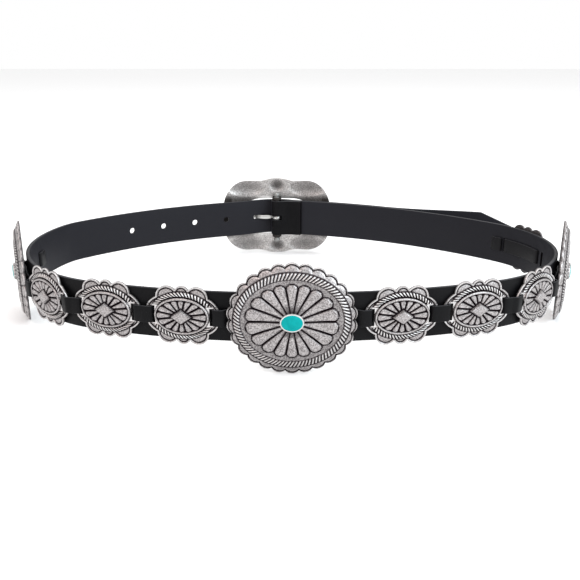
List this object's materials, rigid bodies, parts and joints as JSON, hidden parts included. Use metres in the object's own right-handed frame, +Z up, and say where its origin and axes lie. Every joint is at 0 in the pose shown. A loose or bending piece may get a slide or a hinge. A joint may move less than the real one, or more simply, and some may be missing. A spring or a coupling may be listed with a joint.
{
  "type": "concho belt",
  "caption": "Buckled leather belt with scalloped antiqued-silver conchos woven on by a lace, turquoise stones in the large ones, and a lobed frame buckle.",
  "frame": {"origin": "middle of the bounding box at the belt's lower edge, on the floor that it stands on", "axes": "+Z up along the loop's axis, -Y towards the large front concho, +Y towards the buckle, +X towards the side that the free end lies on"},
  "size_m": [0.3988, 0.269, 0.0676],
  "materials": {
    "strap_leather": "black smooth leather, low sheen",
    "lace_leather": "black smooth lace leather, low sheen",
    "antiqued_silver": "antiqued silver plate, dark in the grooves and bright on worn edges",
    "buckle_silver": "antiqued silver plate, plain cast back",
    "pin_metal": "bright plated pin",
    "turquoise": "polished cabochon"
  },
  "bodies": {
    "root": {"main_strap": "strap_leather", "lace": "lace_leather", "big_concho_front": "antiqued_silver", "big_concho_right": "antiqued_silver", "big_concho_left": "antiqued_silver", "stone_front": "turquoise", "stone_right": "turquoise", "stone_left": "turquoise", "small_concho_right_1": "antiqued_silver", "small_concho_right_2": "antiqued_silver", "small_concho_right_3": "antiqued_silver", "small_concho_right_4": "antiqued_silver", "small_concho_left_1": "antiqued_silver", "small_concho_left_2": "antiqued_silver", "small_concho_left_3": "antiqued_silver", "buckle_frame": "buckle_silver", "buckle_bar": "pin_metal", "buckle_prong": "pin_metal"}
  },
  "joints": []
}
